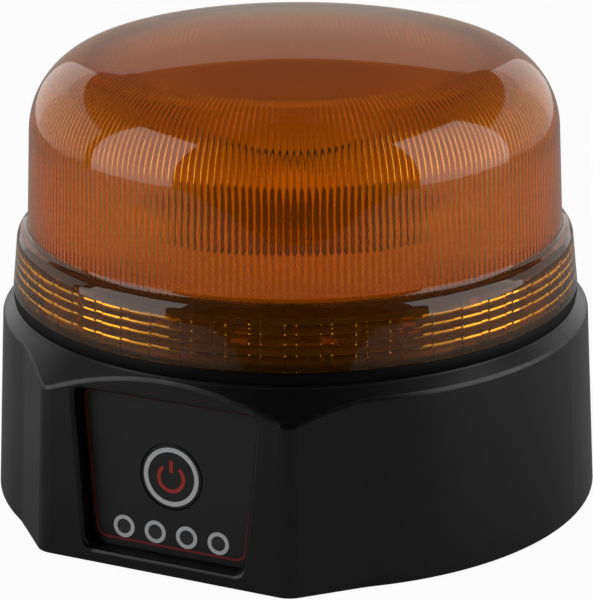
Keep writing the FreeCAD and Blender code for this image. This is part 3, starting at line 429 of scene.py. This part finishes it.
def outer_profile():
    """Outside of the lens, from the collar's foot up and over the dome."""
    profile = [(COLLAR_R_LOW - COLLAR_FOOT_EDGE, seal_top),
               (COLLAR_R_LOW, seal_top + COLLAR_FOOT_EDGE)]
    profile += [(COLLAR_R_LOW + (COLLAR_R_TOP - COLLAR_R_LOW) * share,
                 seal_top + (COLLAR_Z - seal_top) * share) for share in COLLAR_ROWS]
    for centre_r, centre_z, radius, first, last, steps in EDGE_ARCS:
        profile += arc_points(centre_r, centre_z, radius, radians(first), radians(last), steps)
    return profile + dome_profile(0.0, DOME_START, OUTER_ROWS)


def rib_height(angle):
    """Half-round rib across one pitch: 0 in the groove, 1 on the crest."""
    place = (angle / (2 * pi) * RIB_COUNT) % 1.0
    across = 2 * place - 1
    return sqrt(max(0.0, 1 - across * across))


def rib_strength(r, z):
    """The dome's ribs run full height up the wall and die out where the crown begins."""
    if z < DOME_IN_Z + RIB_FOOT:
        return 0.0
    fade_r = ARC_CENTRE_R + RIB_FADE_FROM
    if z > SHOULDER_Z and r < fade_r:
        return max(0.0, 1 - (fade_r - r) / RIB_FADE)
    return 1.0


def flute_height(angle):
    """Height of the collar's upright strips at this angle: flat on top, with steep sides."""
    pitch = 2 * pi / FLUTE_COUNT
    place = (angle - FLUTE_PHASE + pitch / 2) % pitch - pitch / 2
    inside_edge = FLUTE_HALF - abs(place) * COLLAR_IN_R
    return FLUTE_H * min(1.0, max(0.0, inside_edge / FLUTE_SIDE))


def flute_angles():
    """Angles that catch both edges of each flute, with a few across the land between."""
    pitch = 2 * pi / FLUTE_COUNT
    half = FLUTE_HALF / COLLAR_IN_R
    top = (FLUTE_HALF - FLUTE_SIDE) / COLLAR_IN_R
    across = [-half, -top, -top / 2, 0.0, top / 2, top, half]
    across += [half + (pitch - 2 * half) * k / LAND_STEPS for k in range(1, LAND_STEPS)]
    return [FLUTE_PHASE % pitch + i * pitch + a for i in range(FLUTE_COUNT) for a in across]


def ridge_height(z):
    """Height of the collar's prism ridges at this level."""
    return max([0.0] + [RIDGE_H * (1 - abs(z - at) / RIDGE_HALF) for at in RIDGE_ZS])


def collar_levels():
    """Heights of the collar's inner rows: both sides and the crest of every ridge, and the
    flutes' ends."""
    rows = {round(seal_top, 3), COLLAR_IN_Z, round(FLUTE_TOP_Z, 3),
            round(FLUTE_TOP_Z + FLUTE_END, 3)}
    for at in RIDGE_ZS:
        rows |= {round(at - RIDGE_HALF, 3), at, round(at + RIDGE_HALF, 3)}
    return sorted(rows)


def collar_radius(level):
    """Inner radius of the collar at one level, as a function of the angle."""
    share = 1.0 if level <= FLUTE_TOP_Z else 0.0
    ridge = ridge_height(level)
    return lambda angle: COLLAR_IN_R - flute_height(angle) * share - ridge


def dome_radius(r, z):
    """Inner radius of the dome at one point of its profile, as a function of the angle."""
    depth = RIB_DEPTH * rib_strength(r, z)
    return lambda angle: r - depth * rib_height(angle)


def lens_piece():
    """The lens: smooth outside, fluted and ridged inside the collar, ribbed inside the dome."""
    skin = Rings()
    plain = [2 * pi * i / PLAIN_STEPS for i in range(PLAIN_STEPS)]
    outside = [skin.ring(plain, r, z) for r, z in outer_profile()]
    for low, high in zip(outside, outside[1:]):
        skin.bridge(low, high)
    skin.cap(outside[-1], DOME_TOP_Z - TOP_DIP)

    around = flute_angles()
    collar = [skin.ring(around, collar_radius(z), z) for z in collar_levels()]
    skin.stitch(collar[0], around, outside[0], plain)
    for low, high in zip(collar, collar[1:]):
        skin.bridge(high, low)

    rib_angles = [2 * pi * (i + k / RIB_POINTS) / RIB_COUNT
                  for i in range(RIB_COUNT) for k in range(RIB_POINTS)]
    dome = [skin.ring(rib_angles, dome_radius(r, z), z)
            for r, z in dome_profile(LENS_WALL, (DOME_IN_R, DOME_IN_Z), INNER_ROWS)]
    skin.stitch(dome[0], rib_angles, collar[-1], around)
    for low, high in zip(dome, dome[1:]):
        skin.bridge(high, low)
    skin.cap(list(reversed(dome[-1])), DOME_TOP_Z - LENS_WALL)

    piece = mesh_piece("lens_shell", skin.points, skin.faces, MATERIALS["amber_lens"])
    piece.data.set_sharp_from_angle(angle=CREASE)
    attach(piece, "base")
    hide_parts("lens")


# ---------------------------------------------------------------- control panel printing
def panel_matrix():
    """From flat label coordinates (across, up, outwards) to the row frame."""
    turn = Matrix.Rotation(pi / 2 - PANEL_DRAFT, 4, "X")
    return Matrix.Translation(Vector((0, -PANEL_DIST * MM, 0))) @ turn


def flat_piece(name, outlines, material, body):
    """Thin printed shape from strips: each outline is (inner points, outer points, closed)."""
    points = []
    faces = []
    low = LABEL_W + INK_LIFT
    high = low + INK_T
    for inner, outer, closed in outlines:
        count = len(inner)
        start = len(points)
        for row, w in ((inner, low), (outer, low), (outer, high), (inner, high)):
            points += [(u, v, w) for u, v in row]
        steps = count if closed else count - 1
        for i in range(steps):
            j = (i + 1) % count
            for a in range(4):
                b = (a + 1) % 4
                faces.append((start + a * count + i, start + b * count + i,
                              start + b * count + j, start + a * count + j))
        if not closed:
            faces.append(tuple(start + a * count for a in range(4)))
            faces.append(tuple(start + a * count + count - 1 for a in reversed(range(4))))
    piece = mesh_piece(name, points, faces, material, smooth=False)
    piece.data.transform(panel_matrix())
    fix_normals(piece)
    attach(piece, body)


def circle(u, v, radius, count, first=0.0, last=2 * pi, closed=True):
    """Points round a circle, or along an arc with both its ends."""
    steps = count if closed else count - 1
    angles = [first + (last - first) * i / steps for i in range(count)]
    return [(u + radius * cos(angle), v + radius * sin(angle)) for angle in angles]


def ring_outline(u, v, outer, stroke):
    """Closed strip round a centre."""
    return circle(u, v, outer - stroke, RING_STEPS), circle(u, v, outer, RING_STEPS), True


def border_path(inset):
    """Closed tapered outline with rounded corners, moved in by an inset."""
    half_top, half_low = BORDER_HALF_TOP - inset, BORDER_HALF_LOW - inset
    top, foot = BORDER_TOP - inset, BORDER_FOOT + inset
    low_r, high_r = BORDER_LOW_R - inset, BORDER_HIGH_R - inset
    lean = (half_top - half_low) / (top - foot)
    low_u = half_low + lean * low_r - low_r
    high_u = half_top - lean * high_r - high_r
    corners = (
        (-low_u, foot + low_r, low_r, pi + lean, 1.5 * pi),
        (low_u, foot + low_r, low_r, 1.5 * pi, 2 * pi - lean),
        (high_u, top - high_r, high_r, -lean, pi / 2),
        (-high_u, top - high_r, high_r, pi / 2, pi + lean),
    )
    path = []
    for u, v, radius, first, last in corners:
        path += circle(u, v, radius, BORDER_STEPS, first, last, False)
    return path


def label_printing():
    """Power ring and sign on the key, charge rings and border on the overlay."""
    flat_piece("power_ring", [ring_outline(0, KEY_V, *POWER_RING)], INK_GREY, "key")
    sweep = [circle(0, KEY_V - SIGN_DROP, radius, SIGN_STEPS, pi / 2 + SIGN_GAP,
                    2.5 * pi - SIGN_GAP, False) for radius in SIGN_RADII]
    bar = [[(side, KEY_V + BAR_LOW), (side, KEY_V + BAR_HIGH)] for side in (-BAR_HALF, BAR_HALF)]
    flat_piece("power_sign", [(*sweep, False), (*bar, False)], INK_RED, "key")
    middle = (WINDOW_COUNT - 1) / 2
    rings = [ring_outline(WINDOW_PITCH * (i - middle), WINDOW_V, *CHARGE_RING)
             for i in range(WINDOW_COUNT)]
    flat_piece("charge_rings", rings, INK_GREY, "base")
    flat_piece("border_line", [(border_path(BORDER_STROKE), border_path(0.0), True)],
               INK_DARK_RED, "base")


# ---------------------------------------------------------------- stage
def view_direction(azimuth, elevation):
    """Unit vector from the axis; azimuth 0 is in front of the panel."""
    a, e = radians(azimuth), radians(elevation)
    return Vector((sin(a) * cos(e), -cos(a) * cos(e), sin(e)))


def build_world():
    """Dim grey room that only the camera sees as white."""
    world = bpy.data.worlds.new("studio")
    bpy.context.scene.world = world
    world.use_nodes = True
    nodes, links = world.node_tree.nodes, world.node_tree.links
    background = nodes["Background"]
    path = nodes.new("ShaderNodeLightPath")
    strength = nodes.new("ShaderNodeMapRange")
    set_inputs(strength, To_Min=WORLD_STRENGTH, To_Max=1.0)
    links.new(path.outputs["Is Camera Ray"], strength.inputs["Value"])
    background.inputs["Color"].default_value = (1.0, 1.0, 1.0, 1.0)
    links.new(strength.outputs["Result"], background.inputs["Strength"])


def build_floor():
    """Pale floor that only the camera sees as near white."""
    material, nodes, links, shader = new_material("pale_floor")
    set_inputs(shader, Base_Color=(FLOOR_TONE, FLOOR_TONE, FLOOR_TONE, 1.0), Roughness=0.9,
               Specular_IOR_Level=0.1)
    emission = nodes.new("ShaderNodeEmission")
    mix = nodes.new("ShaderNodeMixShader")
    path = nodes.new("ShaderNodeLightPath")
    share = nodes.new("ShaderNodeMath")
    share.operation = "MULTIPLY"
    share.inputs[1].default_value = FLOOR_GLOW
    links.new(path.outputs["Is Camera Ray"], share.inputs[0])
    links.new(share.outputs[0], mix.inputs[0])
    links.new(shader.outputs[0], mix.inputs[1])
    links.new(emission.outputs[0], mix.inputs[2])
    links.new(mix.outputs[0], nodes["Material Output"].inputs["Surface"])
    corners = [(x * FLOOR_REACH, y * FLOOR_REACH, FLOOR_DROP)
               for x, y in ((-1, -1), (1, -1), (1, 1), (-1, 1))]
    floor = mesh_piece("floor", corners, [(0, 1, 2, 3)], material, smooth=False)


def build_curtain():
    """Dark curtain on the camera's side that the camera doesn't see.  It keeps the front of the
    object from catching light."""
    material, _, _, shader = new_material("curtain")
    set_inputs(shader, Base_Color=(CURTAIN_TONE, CURTAIN_TONE, CURTAIN_TONE, 1.0), Roughness=1.0,
               Specular_IOR_Level=0.0)
    points, faces = [], []
    for j in range(CURTAIN_ROWS + 1):
        for i in range(CURTAIN_COLUMNS + 1):
            azimuth = CAMERA_AZ - CURTAIN_SPREAD / 2 + CURTAIN_SPREAD * i / CURTAIN_COLUMNS
            elevation = CURTAIN_LOW + CURTAIN_RISE * j / CURTAIN_ROWS
            points.append(tuple(CURTAIN_R * c for c in view_direction(azimuth, elevation)))
    for j in range(CURTAIN_ROWS):
        for i in range(CURTAIN_COLUMNS):
            near = j * (CURTAIN_COLUMNS + 1) + i
            far = near + CURTAIN_COLUMNS + 1
            faces.append((near, near + 1, far + 1, far))
    # its skirt lies on the floor, on the camera's side
    ahead = view_direction(CAMERA_AZ, 0)
    across = Vector((-ahead.y, ahead.x, 0))
    first = len(points)
    for forward, side in ((SKIRT_NEAR, -SKIRT_HALF), (SKIRT_NEAR, SKIRT_HALF),
                          (SKIRT_FAR, SKIRT_HALF), (SKIRT_FAR, -SKIRT_HALF)):
        points.append(tuple(ahead * forward + across * side + Vector((0, 0, SKIRT_Z))))
    faces.append((first, first + 1, first + 2, first + 3))
    curtain = mesh_piece("curtain", points, faces, material)
    curtain.visible_camera = False


def area_light(name, azimuth, distance, z, width, height, power):
    """Softbox that stands at this azimuth, distance and height and faces the axis level."""
    light = bpy.data.lights.new(name, "AREA")
    light.shape = "RECTANGLE"
    light.size = width * MM
    light.size_y = height * MM
    light.energy = power
    lamp = bpy.data.objects.new(name, light)
    bpy.context.scene.collection.objects.link(lamp)
    lamp.location = (view_direction(azimuth, 0) * distance + Vector((0, 0, z))) * MM
    away = lamp.location - Vector((0, 0, z * MM))
    lamp.rotation_euler = away.to_track_quat("Z", "Y").to_euler()


def build_camera():
    """Long lens, to the +X side of the panel and slightly above."""
    data = bpy.data.cameras.new("camera")
    data.lens = CAMERA_LENS
    data.sensor_width = SENSOR_WIDTH
    data.clip_start = 0.01
    data.clip_end = 50.0
    camera = bpy.data.objects.new("camera", data)
    bpy.context.scene.collection.objects.link(camera)
    place = (view_direction(CAMERA_AZ, CAMERA_EL) * CAMERA_DIST * MM
             + Vector((0, 0, CAMERA_PIVOT_Z * MM)))
    azimuth = radians(CAMERA_AZ)
    aim = Vector((AIM_ACROSS * cos(azimuth), AIM_ACROSS * sin(azimuth), AIM_Z)) * MM
    turn = (place - aim).to_track_quat("Z", "Y").to_matrix().to_4x4()
    roll = Matrix.Rotation(radians(CAMERA_ROLL), 4, "Z")
    camera.matrix_world = Matrix.Translation(place) @ turn @ roll
    bpy.context.scene.camera = camera


# ---------------------------------------------------------------- build
dress_nodes()
lens_piece()
label_printing()
build_world()
build_floor()
build_curtain()
for box_name, (box_azimuth, *box_sizes) in SOFTBOXES.items():
    area_light(box_name, CAMERA_AZ + box_azimuth, *box_sizes)
build_camera()

bpy.context.scene.view_settings.view_transform = "Standard"
